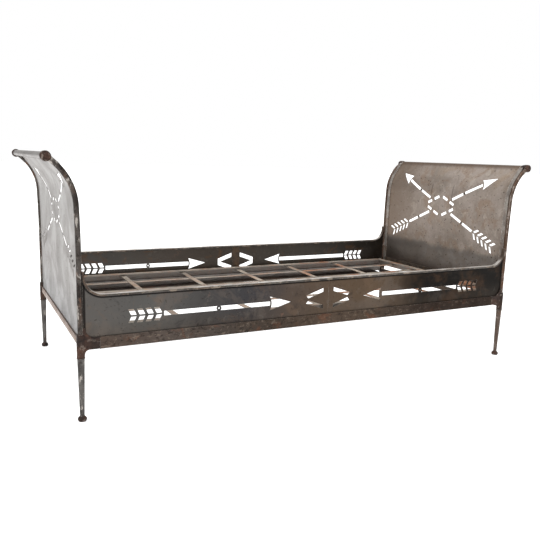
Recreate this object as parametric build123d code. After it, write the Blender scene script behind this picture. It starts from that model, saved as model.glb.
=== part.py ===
"""Antique steel daybed with sleigh-shaped ends.

Two flared ends of sheet steel between round posts, two low side rails pierced with arrows,
four tapered legs on button feet, and a loose riveted strap deck that lifts out for the mattress.

Millimetres. The origin is on the floor under the middle of the bed, +X runs along the bed to
its right end, -Y is the front and +Z is up.
"""
import os
from math import acos, asin, cos, degrees, radians, sin, sqrt, tan

from build123d import *

# ---------------------------------------------------------------- driving dimensions
POST_D = 18.0             # round bar of the corner posts
POST_X = 962.5            # post centre, from the middle of the bed
POST_Y = 452.0
LEAN_START_Z = 560.0      # the posts are straight up to here,
LEAN_R = 4500.0           # lean outwards a little on this centre-line radius,
FLARE_START_Z = 728.0     # and bend strongly from here
FLARE_R = 190.0           # on this one
FLARE_ANGLE = 57.5        # degrees from upright at the top bar

TOP_BAR_D = 22.0          # bar that the end sheet rolls over
CAP_D = 34.0              # knob on each end of that bar
CAP_LENGTH = 35.0
CAP_FACE_Y = 462.0        # outer face of the knobs

LEG_TOP_D = 24.6
LEG_FOOT_D = 15.6
LEG_TOP_Z = 222.0
FOOT_D = 31.0
FOOT_HEIGHT = 18.0
TENON_D = 14.0            # leg spigot inside the corner casting
TENON_TOP_Z = 258.0

BOSS_D = 28.0             # corner casting around the post
BOSS_TOP_Z = 303.0
POST_SEAT_Z = 262.0       # the post stands in the casting from here up

SHEET = 2.0               # thickness of every pierced panel
RAIL_SHEET_Y = 453.5      # middle plane of the side sheets
RAIL_SHEET_BOTTOM_Z = 254.0
SEAM_GAP = 0.4            # open joint between the two sheets of a side

BAR_BOTTOM_Z = 249.0      # angle bar along the foot of each side
BAR_TOP_Z = 291.0
BAR_THICKNESS = 5.5
BAR_INNER_Y = 396.0       # its level leg reaches in under the deck to here
BAR_LEG_T = 5.0
BAR_HALF_LENGTH = 900.0   # it stops at the arms of the corner castings

MOULDING_BOTTOM_Z = 427.5
MOULDING_TOP_Z = 437.0
MOULDING_DEPTH = 18.0
MOULDING_ROUND = 2.4      # its rounded arrises
UNDER_R = 70.0            # its ends turn up beside the posts: radius of the lower edge
OVER_R = 63.0             # and of the upper edge
TIP_WIDTH = 6.0           # the upturned ends taper to this
TIP_TOP_Z = 514.0

LEFT_SHEET_BOTTOM_Z = 261.0
RIGHT_SHEET_BOTTOM_Z = 290.0
LEFT_END_BAR_Z = (261.0, 285.0)
RIGHT_END_BAR_Z = (235.0, 259.0)
STIFFENER_Z = (299.0, 337.0)
EDGE_STRIP = (20.0, 2.5)  # width and thickness of the strips beside the posts

DECK_HALF_LENGTH = 934.0
DECK_HALF_WIDTH = 444.0
DECK_TOP_Z = 325.0
FLANGE = 30.0             # width of the deck's angle
FLANGE_T = 5.0
ANGLE_T = 4.0
LEDGE_TOP_Z = 292.0       # the deck's angle rests here
LEDGE_WIDTH = 30.0
STRAP_TOP_Z = 316.0       # the straps lie a little below the flanges
STRAP_WIDTH = 25.0
STRAP_T = 3.0
CROSS_STRAP_PITCH = 300.0
LONG_STRAP_REAR_Y = 300.0
LONG_STRAP_PITCH = 170.0
LONG_STRAPS = 4
RIVET_D = 6.0
RIVET_HEAD_D = 11.0
RIVET_HEAD_H = 2.0
RIVET_CHAMFER = 0.8
TIP_RIVET_D = 6.4
TIP_RIVET_H = 1.6
TIP_RIVET_DROP = 11.0     # from the tip down to its rivet

BATTEN = (40.0, 3.0)      # strip behind the seam of each side

# ---------------------------------------------------------------- pierced work, sides
FRONT_ARROW_Z = 351.0     # the arrows' centre lines
REAR_ARROW_Z = 353.5
FRONT_SHAFT_HALF = 8.2
REAR_SHAFT_HALF = 9.4
SHAFT_TAIL_X = 677.0
SHAFT_RING_X = 470.0
RING_D = 20.0
RING_HOLE_D = 6.0
HEAD_BARB_X = 262.0
HEAD_TIP_X = 171.0
HEAD_HALF = 27.0
HEAD_HOLLOW = 8.0         # depth of the hollow back of the head
BRIDGE = 6.0              # metal left between the shaft and the head
FEATHERS = 4
FEATHER_START_X = 684.0
FEATHER_PITCH = 30.0
FEATHER_WIDTH = 19.0
FEATHER_SWEEP = 10.0
FEATHER_INNER = 3.0       # half of the spine between the two rows
FEATHER_OUTER = 23.7
CHEVRON_Z = 353.5
CHEVRON_END_X = 24.0
# Each chevron: where its inner edges would meet, their slope, height of a bar, its tip, lean of the tip.
FRONT_CHEVRON = (104.5, 0.33, 15.0, 102.0, 10.0)
REAR_CHEVRON = (88.0, 0.36, 21.0, 100.0, 0.0)

# ---------------------------------------------------------------- pierced work, ends
MOTIF_Z = 674.0
MOTIF_ANGLE = 24.5        # slope of the two crossing arrows
RHOMBUS_HALF = 118.0
DASH_WIDTH = 13.0
DASH_RUNS = ((15.0, 53.0), (72.0, 104.0))
END_TIE_S = 176.0         # a tie of plain metal halfway along each shaft
END_TIE_LENGTH = 13.0
END_SHAFT_START = 89.0
END_TAIL_STOP = 258.0
END_HEAD_BARB = 289.0
END_HEAD_TIP = 374.0
END_HEAD_HALF = 25.0
END_FEATHERS = 5
END_FEATHER_START = 268.0
END_FEATHER_PITCH = 30.0
END_FEATHER_WIDTH = 13.0
END_FEATHER_SWEEP = 20.0
END_FEATHER_INNER = 3.5
END_FEATHER_OUTER = 27.0

# ---------------------------------------------------------------- worked out from the above
LEAN_ANGLE = degrees(asin((FLARE_START_Z - LEAN_START_Z) / LEAN_R))
LEAN_CENTRE = (POST_X + LEAN_R, LEAN_START_Z)
FLARE_CENTRE = (LEAN_CENTRE[0] - (LEAN_R - FLARE_R) * cos(radians(LEAN_ANGLE)),
                FLARE_START_Z - FLARE_R * sin(radians(LEAN_ANGLE)))
BAR_AXIS = (FLARE_CENTRE[0] - FLARE_R * cos(radians(FLARE_ANGLE)),
            FLARE_CENTRE[1] + FLARE_R * sin(radians(FLARE_ANGLE)))
CAP_INNER_Y = CAP_FACE_Y - CAP_LENGTH
ROLL_R = TOP_BAR_D / 2 + SHEET / 2
ROLL_END_ANGLE = -40.0
# The sheet leaves the bend where a straight line also touches the roll over the bar.
LEAVE_ANGLE = 180.0 - FLARE_ANGLE + degrees(acos((FLARE_R - ROLL_R) / FLARE_R))
RAIL_OUTER_Y = RAIL_SHEET_Y + SHEET / 2
RAIL_INNER_Y = RAIL_SHEET_Y - SHEET / 2
TIP_X = POST_X - POST_D / 2
UNDER_CENTRE = (TIP_X - UNDER_R, MOULDING_BOTTOM_Z + UNDER_R)
OVER_CENTRE = (TIP_X - TIP_WIDTH - OVER_R, MOULDING_TOP_Z + OVER_R)
FLANGE_BOTTOM_Z = DECK_TOP_Z - FLANGE_T
CROSS_STRAP_X = [i * CROSS_STRAP_PITCH for i in (-2, -1, 0, 1, 2)]
LONG_STRAP_Y = [LONG_STRAP_REAR_Y - i * LONG_STRAP_PITCH for i in range(LONG_STRAPS)]

FRONT, REAR = -1, 1
SIDES = {"front": FRONT, "rear": REAR}
PIERCED_WORK = {FRONT: (FRONT_ARROW_Z, FRONT_SHAFT_HALF, FRONT_CHEVRON),
                REAR: (REAR_ARROW_Z, REAR_SHAFT_HALF, REAR_CHEVRON)}
ENDS = {"left": -1, "right": 1}


def box(x, y, z):
    """A block between low and high x, y and z."""
    size = (x[1] - x[0], y[1] - y[0], z[1] - z[0])
    return Pos((x[0] + x[1]) / 2, (y[0] + y[1]) / 2, (z[0] + z[1]) / 2) * Box(*size)


def to_end(shape, end):
    """Shapes are drawn at the right end; the left one is their mirror image."""
    return shape if end > 0 else mirror(shape, about=Plane.YZ)


def to_side(shape, side):
    """Shapes are drawn at the rear side; the front one is their mirror image."""
    return shape if side > 0 else mirror(shape, about=Plane.XZ)


def on_xz(sketch, y, thickness):
    """Raise a sketch drawn in x, z into a plate centred on y."""
    return extrude(Plane((0, y, 0), x_dir=(1, 0, 0), z_dir=(0, -1, 0)) * sketch, thickness / 2, both=True)


def polygon(*points):
    return make_face(Polyline(*points, close=True))


# ---------------------------------------------------------------- corner posts, legs and feet
def knob_cylinder():
    knob = Cylinder(CAP_D / 2, CAP_LENGTH, rotation=(90, 0, 0))
    return Pos(BAR_AXIS[0], CAP_FACE_Y - CAP_LENGTH / 2, BAR_AXIS[1]) * knob


def cap_knob():
    """Turned knob on the end of a top bar, with rounded rims."""
    knob = knob_cylinder()
    return fillet(knob.edges().filter_by(GeomType.CIRCLE), 4.0)


def post():
    line = Line((POST_X, POST_SEAT_Z), (POST_X, LEAN_START_Z))
    line += CenterArc(LEAN_CENTRE, LEAN_R, 180, -LEAN_ANGLE)
    line += CenterArc(FLARE_CENTRE, FLARE_R, 180 - LEAN_ANGLE, LEAN_ANGLE - FLARE_ANGLE)
    path = Pos(0, POST_Y, 0) * (Plane.XZ * line)
    section = Plane((POST_X, POST_Y, POST_SEAT_Z)) * Circle(POST_D / 2)
    return sweep(section, path=path) - knob_cylinder()


def leg():
    """Taper with a spigot on top that goes up into the casting."""
    outline = polygon((0, FOOT_HEIGHT), (LEG_FOOT_D / 2, FOOT_HEIGHT), (LEG_TOP_D / 2, LEG_TOP_Z),
                      (TENON_D / 2, LEG_TOP_Z), (TENON_D / 2, TENON_TOP_Z), (0, TENON_TOP_Z))
    return Pos(POST_X, POST_Y, 0) * revolve(Plane.XZ * outline, Axis.Z)


def foot():
    """Flattened ball, flat where it stands and where the leg meets it."""
    ball = scale(Sphere(FOOT_D / 2), by=(1, 1, 1.36 * FOOT_HEIGHT / FOOT_D))
    slab = Pos(0, 0, FOOT_HEIGHT / 2) * Box(FOOT_D, FOOT_D, FOOT_HEIGHT)
    return Pos(POST_X, POST_Y, 0) * ((Pos(0, 0, FOOT_HEIGHT / 2) * ball) & slab)


def corner_casting():
    """Boss around the post and the leg's spigot, with an arm that meets the side's flat bar."""
    boss = Pos(POST_X, POST_Y, (LEG_TOP_Z + BOSS_TOP_Z) / 2) * Cylinder(BOSS_D / 2, BOSS_TOP_Z - LEG_TOP_Z)
    boss = chamfer(boss.edges().filter_by(GeomType.CIRCLE), 2.5)
    web_x = POST_X - BOSS_D / 2
    upper_r, lower_r = 35.0, 13.0
    outline = make_face([
        Line((BAR_HALF_LENGTH, BAR_BOTTOM_Z), (BAR_HALF_LENGTH, BAR_TOP_Z)),
        Line((BAR_HALF_LENGTH, BAR_TOP_Z), (web_x - upper_r, BAR_TOP_Z)),
        CenterArc((web_x - upper_r, BAR_TOP_Z + upper_r), upper_r, 270, 90),
        Line((web_x, BAR_TOP_Z + upper_r), (POST_X, BAR_TOP_Z + upper_r)),
        Line((POST_X, BAR_TOP_Z + upper_r), (POST_X, BAR_BOTTOM_Z - lower_r)),
        Line((POST_X, BAR_BOTTOM_Z - lower_r), (web_x, BAR_BOTTOM_Z - lower_r)),
        CenterArc((web_x - lower_r, BAR_BOTTOM_Z - lower_r), lower_r, 0, 90),
        Line((web_x - lower_r, BAR_BOTTOM_Z), (BAR_HALF_LENGTH, BAR_BOTTOM_Z)),
    ])
    depth = BAR_THICKNESS + 1.0
    arm = on_xz(outline, RAIL_OUTER_Y + depth / 2, depth)
    bores = Pos(POST_X, POST_Y, POST_SEAT_Z + 50) * Cylinder(POST_D / 2, 100)
    bores += Pos(POST_X, POST_Y, TENON_TOP_Z - 50) * Cylinder(TENON_D / 2, 100)
    return boss + arm - bores


# ---------------------------------------------------------------- flared ends
def sheet_path(offset, bottom_z, rolled):
    """Line of the end sheet seen from the front; a positive offset lies towards the mattress."""
    x = POST_X - offset
    unit = (cos(radians(LEAVE_ANGLE)), sin(radians(LEAVE_ANGLE)))
    leave_r = FLARE_R + offset
    meet_r = ROLL_R + offset
    leave = (FLARE_CENTRE[0] + leave_r * unit[0], FLARE_CENTRE[1] + leave_r * unit[1])
    meet = (BAR_AXIS[0] + meet_r * unit[0], BAR_AXIS[1] + meet_r * unit[1])
    line = Line((x, bottom_z), (x, LEAN_START_Z))
    line += CenterArc(LEAN_CENTRE, LEAN_R + offset, 180, -LEAN_ANGLE)
    line += CenterArc(FLARE_CENTRE, leave_r, 180 - LEAN_ANGLE, LEAVE_ANGLE - 180 + LEAN_ANGLE)
    line += Line(leave, meet)
    if rolled:
        line += CenterArc(BAR_AXIS, meet_r, LEAVE_ANGLE, ROLL_END_ANGLE - LEAVE_ANGLE)
    return line


def strip_along(line, start, width, thickness, y=0.0):
    """Flat strip swept along a line drawn in x, z."""
    path = Pos(0, y, 0) * (Plane.XZ * line)
    section = Plane((start[0], y, start[1]), x_dir=(0, 1, 0), z_dir=(0, 0, 1)) * Rectangle(width, thickness)
    return sweep(section, path=path)


def top_bar():
    return Pos(BAR_AXIS[0], 0, BAR_AXIS[1]) * Cylinder(TOP_BAR_D / 2, 2 * CAP_INNER_Y, rotation=(90, 0, 0))


def in_arrow_frame(shape, angle):
    """Turn a shape drawn along +x, about the motif's middle, to lie along one of its arrows."""
    return Pos(0, MOTIF_Z) * (Rot(0, 0, angle) * shape)


def arrowhead(barb, tip, half, hollow):
    """Head that points along +x, with a hollow back."""
    back = ThreePointArc((barb, -half), (barb + hollow, 0), (barb, half))
    return make_face([back, Line((barb, half), (tip, 0)), Line((tip, 0), (barb, -half))])


def head_clearance(barb, half, hollow):
    """Everything beyond a line one bridge behind the head's hollow back."""
    back = ThreePointArc((barb - BRIDGE, -half), (barb + hollow - BRIDGE, 0), (barb - BRIDGE, half))
    far = barb + 200
    return make_face([back, Line((barb - BRIDGE, half), (far, half)), Line((far, half), (far, -half)),
                      Line((far, -half), (barb - BRIDGE, -half))])


def feather_pairs(count, start, pitch, width, sweep_back, inner, outer):
    """Rows of slanted slots either side of the spine, sweeping back along +x."""
    slots = Sketch()
    for i in range(count):
        x = start + i * pitch
        for row in (-1, 1):
            slots += polygon((x, row * inner), (x + width, row * inner),
                             (x + width + sweep_back, row * outer), (x + sweep_back, row * outer))
    return slots


def ring_and_hole(x, outer_d, hole_d):
    """Disc that stays in a shaft, with its small hole."""
    return Pos(x, 0) * (Circle(outer_d / 2) - Circle(hole_d / 2))


def end_half_arrow(with_head):
    """Slots of one arrow on one side of the motif's middle."""
    stop = END_HEAD_BARB + HEAD_HOLLOW if with_head else END_TAIL_STOP
    length = stop - END_SHAFT_START
    slots = Pos(END_SHAFT_START + length / 2, 0) * Rectangle(length, DASH_WIDTH)
    slots -= Pos(END_TIE_S, 0) * Rectangle(END_TIE_LENGTH, DASH_WIDTH)
    if with_head:
        slots -= head_clearance(END_HEAD_BARB, END_HEAD_HALF, HEAD_HOLLOW)
        return slots + arrowhead(END_HEAD_BARB, END_HEAD_TIP, END_HEAD_HALF, HEAD_HOLLOW)
    return slots + feather_pairs(END_FEATHERS, END_FEATHER_START, END_FEATHER_PITCH, END_FEATHER_WIDTH,
                                 END_FEATHER_SWEEP, END_FEATHER_INNER, END_FEATHER_OUTER)


def rhombus_dashes():
    """Broken rhombus around the crossing, with its sides parallel to the arrows."""
    dashes = Sketch()
    rise = RHOMBUS_HALF * tan(radians(MOTIF_ANGLE))
    for up in (-1, 1):
        for out in (-1, 1):
            for start, stop in DASH_RUNS:
                dash = Pos((start + stop) / 2, 0) * Rectangle(stop - start, DASH_WIDTH)
                angle = -up * MOTIF_ANGLE if out > 0 else 180 + up * MOTIF_ANGLE
                dashes += Pos(0, MOTIF_Z + up * rise) * (Rot(0, 0, angle) * dash)
    return dashes


def end_motif():
    """Two crossing arrows, heads up, drawn in y, z."""
    motif = rhombus_dashes()
    for angle, with_head in ((MOTIF_ANGLE, True), (180 - MOTIF_ANGLE, True),
                             (-MOTIF_ANGLE, False), (180 + MOTIF_ANGLE, False)):
        motif += in_arrow_frame(end_half_arrow(with_head), angle)
    return motif


def end_panel(bottom_z, casting_pair):
    width = 2 * (POST_Y - POST_D / 2)
    sheet = strip_along(sheet_path(0, bottom_z, True), (POST_X, bottom_z), width, SHEET)
    cutter = extrude(Plane((POST_X + 20, 0, 0), x_dir=(0, 1, 0), z_dir=(1, 0, 0)) * end_motif(), 60, both=True)
    sheet -= cutter
    for side in SIDES.values():
        sheet -= to_side(knob_cylinder(), side)
    return sheet - casting_pair


def edge_strip(bottom_z, casting):
    """Flat strip that binds the sheet's edge on the mattress side, close to a post."""
    width, thickness = EDGE_STRIP
    offset = (SHEET + thickness) / 2
    y = POST_Y - POST_D / 2 - width / 2
    strip = strip_along(sheet_path(offset, bottom_z, False), (POST_X - offset, bottom_z), width, thickness, y)
    return strip - knob_cylinder() - casting


def end_bar(z_range):
    """Flat bar across the outside of an end, from casting to casting."""
    half = POST_Y - BOSS_D / 2
    return box((POST_X + SHEET / 2, POST_X + SHEET / 2 + 5), (-half, half), z_range)


def stiffener():
    """Flat bar across the inside of an end, level with the deck."""
    half = POST_Y - POST_D / 2 - EDGE_STRIP[0] - 1
    return box((POST_X - SHEET / 2 - 4, POST_X - SHEET / 2), (-half, half), STIFFENER_Z)


# ---------------------------------------------------------------- sides
def side_outline():
    """Right half of a side sheet: level under the moulding, swept up to the post."""
    shoulder_rise = 22.0
    shoulder_z = UNDER_CENTRE[1] - shoulder_rise
    shoulder_x = UNDER_CENTRE[0] + sqrt(UNDER_R ** 2 - shoulder_rise ** 2)
    shoulder_angle = degrees(asin(shoulder_rise / UNDER_R))
    return make_face([
        Line((SEAM_GAP / 2, RAIL_SHEET_BOTTOM_Z), (TIP_X, RAIL_SHEET_BOTTOM_Z)),
        Line((TIP_X, RAIL_SHEET_BOTTOM_Z), (TIP_X, shoulder_z)),
        Line((TIP_X, shoulder_z), (shoulder_x, shoulder_z)),
        CenterArc(UNDER_CENTRE, UNDER_R, -shoulder_angle, shoulder_angle - 90),
        Line((UNDER_CENTRE[0], MOULDING_BOTTOM_Z), (SEAM_GAP / 2, MOULDING_BOTTOM_Z)),
        Line((SEAM_GAP / 2, MOULDING_BOTTOM_Z), (SEAM_GAP / 2, RAIL_SHEET_BOTTOM_Z)),
    ])


def side_arrow(with_ring, z, shaft_half):
    """Arrow that points to the seam, drawn along +x towards the post."""
    head = Rot(0, 0, 180) * arrowhead(-HEAD_BARB_X, -HEAD_TIP_X, HEAD_HALF, HEAD_HOLLOW)
    clearance = Rot(0, 0, 180) * head_clearance(-HEAD_BARB_X, HEAD_HALF, HEAD_HOLLOW)
    start = HEAD_BARB_X - HEAD_HOLLOW
    length = SHAFT_TAIL_X - start
    shaft = Pos(start + length / 2, 0) * Rectangle(length, 2 * shaft_half)
    shaft -= clearance
    if with_ring:
        shaft -= ring_and_hole(SHAFT_RING_X, RING_D, RING_HOLE_D)
    feathers = feather_pairs(FEATHERS, FEATHER_START_X, FEATHER_PITCH, FEATHER_WIDTH, FEATHER_SWEEP,
                             FEATHER_INNER, FEATHER_OUTER)
    return Pos(0, z) * (head + shaft + feathers)


def chevron(vertex_x, slope, height, tip_x, tip_lean):
    """Two sloping slots beside the seam that close up towards the post; a leaning tip keeps them apart."""
    slots = Sketch()
    for up in (-1, 1):
        tip_inner = (tip_x - tip_lean, up * slope * (vertex_x - tip_x + tip_lean))
        tip_outer = (tip_x, up * (slope * (vertex_x - tip_x) + height))
        end_inner = slope * (vertex_x - CHEVRON_END_X)
        slots += polygon((CHEVRON_END_X, up * end_inner), (CHEVRON_END_X, up * (end_inner + height)),
                         tip_outer, tip_inner)
    return Pos(0, CHEVRON_Z) * slots


def side_sheet(side, with_ring, casting):
    arrow_z, shaft_half, chevron_shape = PIERCED_WORK[side]
    cut = side_arrow(with_ring, arrow_z, shaft_half) + chevron(*chevron_shape)
    sheet = on_xz(side_outline(), RAIL_SHEET_Y, SHEET)
    sheet -= on_xz(cut, RAIL_SHEET_Y, 4 * SHEET)
    return sheet - casting


def top_moulding():
    """Bar over the sheet's top edge, with rounded arrises and upturned, tapering ends."""
    tip_inner = TIP_X - TIP_WIDTH
    half = make_face([
        Line((0, MOULDING_BOTTOM_Z), (UNDER_CENTRE[0], MOULDING_BOTTOM_Z)),
        CenterArc(UNDER_CENTRE, UNDER_R, 270, 90),
        Line((TIP_X, UNDER_CENTRE[1]), (TIP_X, TIP_TOP_Z)),
        Line((TIP_X, TIP_TOP_Z), (tip_inner, TIP_TOP_Z)),
        Line((tip_inner, TIP_TOP_Z), (tip_inner, OVER_CENTRE[1])),
        CenterArc(OVER_CENTRE, OVER_R, 0, -90),
        Line((OVER_CENTRE[0], MOULDING_TOP_Z), (0, MOULDING_TOP_Z)),
        Line((0, MOULDING_TOP_Z), (0, MOULDING_BOTTOM_Z)),
    ])
    bar = on_xz(half + mirror(half, about=Plane.YZ), RAIL_SHEET_Y, MOULDING_DEPTH)
    arrises = bar.edges().filter_by(lambda edge: edge.bounding_box().size.Y < 1e-3)
    return fillet(arrises, MOULDING_ROUND)


def bottom_bar():
    """Angle bar outside the foot of a side, with a level leg that reaches in under the deck."""
    length = (-BAR_HALF_LENGTH, BAR_HALF_LENGTH)
    face = box(length, (RAIL_OUTER_Y, RAIL_OUTER_Y + BAR_THICKNESS), (BAR_BOTTOM_Z, BAR_TOP_Z))
    return face + box(length, (BAR_INNER_Y, RAIL_OUTER_Y), (BAR_BOTTOM_Z, BAR_BOTTOM_Z + BAR_LEG_T))


def deck_ledge():
    """Angle along the inside of a side that the deck rests on."""
    length = (-DECK_HALF_LENGTH + 9, DECK_HALF_LENGTH - 9)
    flange = box(length, (RAIL_INNER_Y - LEDGE_WIDTH, RAIL_INNER_Y), (LEDGE_TOP_Z - ANGLE_T, LEDGE_TOP_Z))
    web = box(length, (RAIL_INNER_Y - ANGLE_T, RAIL_INNER_Y), (LEDGE_TOP_Z - LEDGE_WIDTH, LEDGE_TOP_Z))
    return flange + web


def batten():
    width, thickness = BATTEN
    return box((-width / 2, width / 2), (RAIL_INNER_Y - thickness, RAIL_INNER_Y),
               (LEDGE_TOP_Z, MOULDING_BOTTOM_Z))


def moulding_rivets():
    """Small rivet near the tip of each upturned moulding end, on the outer face."""
    rivets = []
    x = TIP_X - TIP_WIDTH / 2
    y = RAIL_SHEET_Y + MOULDING_DEPTH / 2
    for side in SIDES.values():
        for end in ENDS.values():
            head = Cylinder(TIP_RIVET_D / 2, TIP_RIVET_H, rotation=(90, 0, 0))
            head = Pos(x, y + TIP_RIVET_H / 2, TIP_TOP_Z - TIP_RIVET_DROP) * head
            head = fillet(head.edges().sort_by(Axis.Y)[-1], TIP_RIVET_H / 2)
            rivets.append(to_end(to_side(head, side), end))
    return Compound(rivets)


# ---------------------------------------------------------------- lift-out deck
def rivet_hole(x, y):
    return Pos(x, y, DECK_TOP_Z) * Cylinder(RIVET_D / 2, 40)


def deck_side():
    """Angle along the deck; the cross straps end at its web, just below the flange."""
    flange = box((-DECK_HALF_LENGTH, DECK_HALF_LENGTH), (DECK_HALF_WIDTH - FLANGE, DECK_HALF_WIDTH),
                 (FLANGE_BOTTOM_Z, DECK_TOP_Z))
    web = box((-DECK_HALF_LENGTH, DECK_HALF_LENGTH), (DECK_HALF_WIDTH - ANGLE_T, DECK_HALF_WIDTH),
              (LEDGE_TOP_Z, FLANGE_BOTTOM_Z))
    return flange + web


def deck_end():
    """Angle across the end of the deck, between the two long ones."""
    half_flange = DECK_HALF_WIDTH - FLANGE
    half_web = DECK_HALF_WIDTH - ANGLE_T
    flange = box((DECK_HALF_LENGTH - FLANGE, DECK_HALF_LENGTH), (-half_flange, half_flange),
                 (FLANGE_BOTTOM_Z, DECK_TOP_Z))
    web = box((DECK_HALF_LENGTH - ANGLE_T, DECK_HALF_LENGTH), (-half_web, half_web),
              (LEDGE_TOP_Z, FLANGE_BOTTOM_Z))
    return flange + web


def long_strap(y):
    """Strap along the bed, under the cross straps, welded to the end angles."""
    half = DECK_HALF_LENGTH - ANGLE_T
    strap = box((-half, half), (y - STRAP_WIDTH / 2, y + STRAP_WIDTH / 2),
                (STRAP_TOP_Z - 2 * STRAP_T, STRAP_TOP_Z - STRAP_T))
    for x in CROSS_STRAP_X:
        strap -= rivet_hole(x, y)
    return strap


def cross_strap(x):
    """Strap across the bed, over the long ones, welded to the webs of the side angles."""
    half = DECK_HALF_WIDTH - ANGLE_T
    strap = box((x - STRAP_WIDTH / 2, x + STRAP_WIDTH / 2), (-half, half),
                (STRAP_TOP_Z - STRAP_T, STRAP_TOP_Z))
    for y in LONG_STRAP_Y:
        strap -= rivet_hole(x, y)
    return strap


def rivet(x, y):
    """Rivet through two crossing straps, with flat round heads."""
    low_z = STRAP_TOP_Z - 2 * STRAP_T
    shank = Pos(x, y, STRAP_TOP_Z - STRAP_T) * Cylinder(RIVET_D / 2, 2 * STRAP_T)
    top = Pos(x, y, STRAP_TOP_Z + RIVET_HEAD_H / 2) * Cylinder(RIVET_HEAD_D / 2, RIVET_HEAD_H)
    tail = Pos(x, y, low_z - RIVET_HEAD_H / 2) * Cylinder(RIVET_HEAD_D / 2, RIVET_HEAD_H)
    return shank + chamfer(top.edges().sort_by(Axis.Z)[-1], RIVET_CHAMFER) + tail


def deck_rivets():
    return Compound([rivet(x, y) for x in CROSS_STRAP_X for y in LONG_STRAP_Y])


# ---------------------------------------------------------------- all pieces by name
def all_parts():
    parts = {}
    sheet_bottoms = {"left": LEFT_SHEET_BOTTOM_Z, "right": RIGHT_SHEET_BOTTOM_Z}
    end_bars = {"left": LEFT_END_BAR_Z, "right": RIGHT_END_BAR_Z}
    casting = corner_casting()
    casting_pair = casting + to_side(casting, FRONT)
    for end_name, end in ENDS.items():
        for side_name, side in SIDES.items():
            corner = f"{side_name}_{end_name}"
            pieces = {"post": post(), "leg": leg(), "foot": foot(), "cap_knob": cap_knob(),
                      "corner_casting": casting,
                      "edge_strip": edge_strip(sheet_bottoms[end_name], casting)}
            for name, piece in pieces.items():
                parts[f"{name}_{corner}"] = to_end(to_side(piece, side), end)
        parts[f"top_bar_{end_name}"] = to_end(top_bar(), end)
        parts[f"end_panel_{end_name}"] = to_end(end_panel(sheet_bottoms[end_name], casting_pair), end)
        parts[f"end_bar_{end_name}"] = to_end(end_bar(end_bars[end_name]), end)
        parts[f"end_stiffener_{end_name}"] = to_end(stiffener(), end)
        parts[f"deck_end_{end_name}"] = to_end(deck_end(), end)
    for side_name, side in SIDES.items():
        for end_name, end in ENDS.items():
            with_ring = not (side == REAR and end > 0)
            sheet = side_sheet(side, with_ring, casting)
            parts[f"side_panel_{side_name}_{end_name}"] = to_end(to_side(sheet, side), end)
        parts[f"top_moulding_{side_name}"] = to_side(top_moulding(), side)
        parts[f"bottom_bar_{side_name}"] = to_side(bottom_bar(), side)
        parts[f"deck_ledge_{side_name}"] = to_side(deck_ledge(), side)
        parts[f"seam_batten_{side_name}"] = to_side(batten(), side)
        parts[f"deck_side_{side_name}"] = to_side(deck_side(), side)
    parts["moulding_rivets"] = moulding_rivets()
    for number, y in enumerate(LONG_STRAP_Y, 1):
        parts[f"long_strap_{number}"] = long_strap(y)
    for number, x in enumerate(CROSS_STRAP_X, 1):
        parts[f"cross_strap_{number}"] = cross_strap(x)
    parts["deck_rivets"] = deck_rivets()
    return parts


os.makedirs("parts", exist_ok=True)
for part_name, part_shape in all_parts().items():
    export_step(part_shape, f"parts/{part_name}.step")
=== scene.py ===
"""Looks of the antique steel daybed: aged metals, uneven hand-made straps, castings and welds."""
import random
from math import cos, pi, radians, sin

import bmesh
import bpy
from mathutils import Matrix, Vector


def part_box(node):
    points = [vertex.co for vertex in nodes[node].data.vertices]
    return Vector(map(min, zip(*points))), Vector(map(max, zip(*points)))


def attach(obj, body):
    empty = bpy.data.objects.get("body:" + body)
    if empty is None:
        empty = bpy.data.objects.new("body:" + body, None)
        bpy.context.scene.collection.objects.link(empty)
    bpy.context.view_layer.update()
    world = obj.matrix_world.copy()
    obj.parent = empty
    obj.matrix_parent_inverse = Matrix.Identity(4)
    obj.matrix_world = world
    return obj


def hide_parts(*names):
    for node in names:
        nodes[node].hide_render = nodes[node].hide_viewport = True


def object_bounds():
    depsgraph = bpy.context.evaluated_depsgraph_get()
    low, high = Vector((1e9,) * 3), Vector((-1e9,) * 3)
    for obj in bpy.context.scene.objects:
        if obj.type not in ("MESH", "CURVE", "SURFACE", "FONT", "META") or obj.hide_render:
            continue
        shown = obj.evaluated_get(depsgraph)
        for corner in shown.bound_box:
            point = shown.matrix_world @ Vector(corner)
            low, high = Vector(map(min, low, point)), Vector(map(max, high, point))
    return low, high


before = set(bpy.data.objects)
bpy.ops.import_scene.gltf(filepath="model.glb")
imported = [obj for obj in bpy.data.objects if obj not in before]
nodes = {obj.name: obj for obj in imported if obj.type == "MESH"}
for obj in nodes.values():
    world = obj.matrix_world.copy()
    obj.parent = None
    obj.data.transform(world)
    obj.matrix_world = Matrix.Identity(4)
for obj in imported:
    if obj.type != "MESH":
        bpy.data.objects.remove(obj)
cad_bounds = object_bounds()
random.seed(7)

SIDES = ("front", "rear")
ENDS = ("left", "right")
CORNERS = tuple(f"{side}_{end}" for side in SIDES for end in ENDS)


# ---------------------------------------------------------------- node helpers
def srgb(red, green, blue):
    """A colour given as 0 to 255 screen values, as linear RGBA."""
    def linear(value):
        value /= 255
        return value / 12.92 if value <= 0.04045 else ((value + 0.055) / 1.055) ** 2.4
    return (linear(red), linear(green), linear(blue), 1.0)


FLECK_ROUGHNESS = 0.68
FLECK_WARP = 0.5
FLECK_EDGE = 0.09    # how much the noise changes over the soft edge of a fleck
CURVED_EDGE = (0.02, 0.25)    # how far the smoothed normal turns where wear begins and where it is full


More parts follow.
